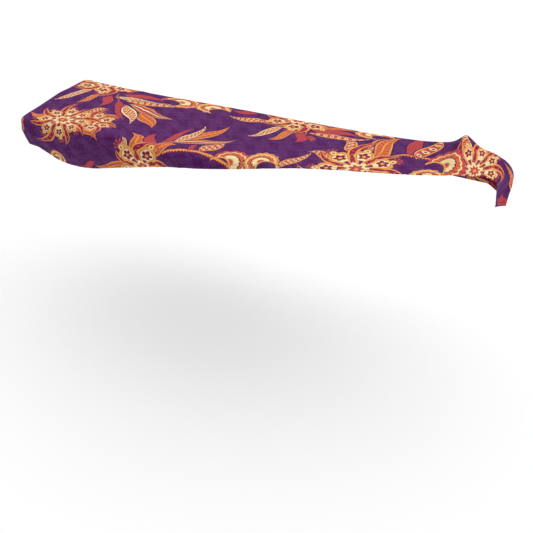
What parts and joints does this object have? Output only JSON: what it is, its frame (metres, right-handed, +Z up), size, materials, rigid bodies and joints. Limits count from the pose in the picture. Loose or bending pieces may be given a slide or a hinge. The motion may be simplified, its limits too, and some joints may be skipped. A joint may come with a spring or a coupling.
{
  "type": "piano keyboard cover",
  "caption": "Fitted stretch cloth cover for a full-size piano keyboard, open below, with its right front drawn back over the keys.",
  "frame": {"origin": "under the cloth's top, at the middle of the instrument's top, where the instrument carries the cover", "axes": "+X along the keyboard towards its treble end, +Y towards its back, +Z up"},
  "size_m": [1.3342, 0.2985, 0.1827],
  "materials": {
    "printed_cloth": "smooth stretch polyester with a printed floral pattern, slight sheen"
  },
  "bodies": {
    "root": {"cover_cloth": "printed_cloth"}
  },
  "joints": []
}
